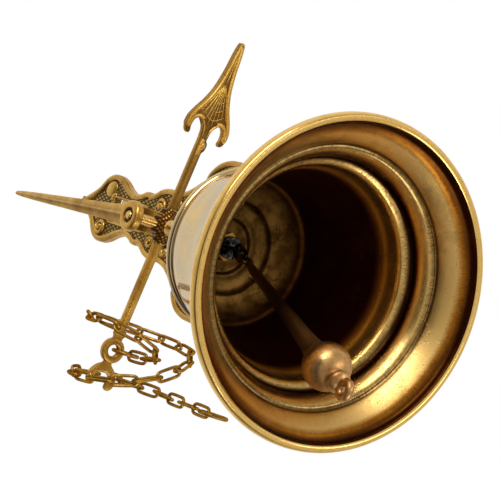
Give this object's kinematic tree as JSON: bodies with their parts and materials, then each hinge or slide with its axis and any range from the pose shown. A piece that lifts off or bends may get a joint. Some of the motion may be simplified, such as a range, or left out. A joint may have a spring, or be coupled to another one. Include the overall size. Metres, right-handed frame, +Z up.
{
  "type": "sanctus bell",
  "caption": "Wall-hung brass sanctus bell on an ornate plate and arm, with a swinging lever, ball clapper and pull chain.",
  "frame": {"origin": "on the wall plate's back face, behind the pivot pin's axis", "axes": "+Z up, -Y out of the wall into the room, +X towards the arrow finial"},
  "size_m": [0.1678, 0.1595, 0.3882],
  "materials": {
    "bell_brass": "polished, with brown patina inside",
    "plate_brass": "sand cast, dark ground, rubbed high spots",
    "lever_brass": "cast and polished, brown in the hollows",
    "fitting_brass": "turned",
    "chain_brass": "drawn wire, lacquered",
    "clapper_bronze": "copper-toned, worn smooth",
    "clapper_steel": "dark, bright where it rubs"
  },
  "bodies": {
    "root": {"wall_plate": "plate_brass", "wall_screw_1": "fitting_brass", "wall_screw_2": "fitting_brass", "bracket_arm": "lever_brass", "leaf_finial": "lever_brass"},
    "yoke": {"pivot_pin": "fitting_brass", "pin_washer": "fitting_brass", "hub": "plate_brass", "arrow_arm": "lever_brass", "eye_arm": "lever_brass", "crown_stem": "lever_brass", "crown_nut": "fitting_brass", "bell_body": "bell_brass", "clapper_staple": "clapper_steel", "connecting_ring": "chain_brass", "chain_link_01": "chain_brass", "chain_link_02": "chain_brass", "chain_link_03": "chain_brass", "chain_link_04": "chain_brass", "chain_link_05": "chain_brass", "chain_link_06": "chain_brass", "chain_link_07": "chain_brass", "chain_link_08": "chain_brass", "chain_link_09": "chain_brass", "chain_link_10": "chain_brass", "chain_link_11": "chain_brass", "chain_link_12": "chain_brass", "chain_link_13": "chain_brass", "chain_link_14": "chain_brass", "chain_link_15": "chain_brass", "chain_link_16": "chain_brass", "chain_link_17": "chain_brass", "chain_link_18": "chain_brass", "chain_link_19": "chain_brass", "chain_link_20": "chain_brass", "chain_link_21": "chain_brass", "chain_link_22": "chain_brass", "chain_link_23": "chain_brass", "chain_link_24": "chain_brass", "chain_link_25": "chain_brass", "chain_link_26": "chain_brass", "chain_link_27": "chain_brass", "chain_link_28": "chain_brass"},
    "shackle": {"clapper_shackle": "clapper_steel"},
    "clapper": {"clapper": "clapper_bronze"},
    "chain_end_1": {"chain_tail_1": "chain_brass"},
    "chain_end_2": {"chain_tail_2": "chain_brass"},
    "chain_end_3": {"chain_tail_3": "chain_brass"},
    "pull_ring": {"pull_ring": "chain_brass"}
  },
  "joints": [
    {"name": "yoke_swing", "type": "hinge", "parent": "root", "child": "yoke", "pos_m": [0, -0.087, 0], "axis": [0, 1, 0], "range_deg": [-25, 25]},
    {"name": "shackle_swing", "type": "hinge", "parent": "yoke", "child": "shackle", "pos_m": [0, -0.087, -0.0624], "axis": [0, 1, 0], "range_deg": [-52, 10]},
    {"name": "clapper_swing", "type": "hinge", "parent": "shackle", "child": "clapper", "pos_m": [-0.00272, -0.087, -0.0695], "axis": [0.9336, 0, -0.3584], "range_deg": [-12, 12]},
    {"name": "chain_end_1_swing", "type": "hinge", "parent": "yoke", "child": "chain_end_1", "pos_m": [-0.07237, -0.07328, -0.02738], "axis": [0, 1, 0], "range_deg": [-20, 20]},
    {"name": "chain_end_2_swing", "type": "hinge", "parent": "chain_end_1", "child": "chain_end_2", "pos_m": [-0.07237, -0.07328, -0.03818], "axis": [1, 0, 0], "range_deg": [-20, 20]},
    {"name": "chain_end_3_swing", "type": "hinge", "parent": "chain_end_2", "child": "chain_end_3", "pos_m": [-0.07237, -0.07328, -0.04898], "axis": [0, 1, 0], "range_deg": [-20, 20]},
    {"name": "pull_ring_swing", "type": "hinge", "parent": "chain_end_3", "child": "pull_ring", "pos_m": [-0.07237, -0.07328, -0.05978], "axis": [1, 0, 0], "range_deg": [-30, 30]}
  ]
}
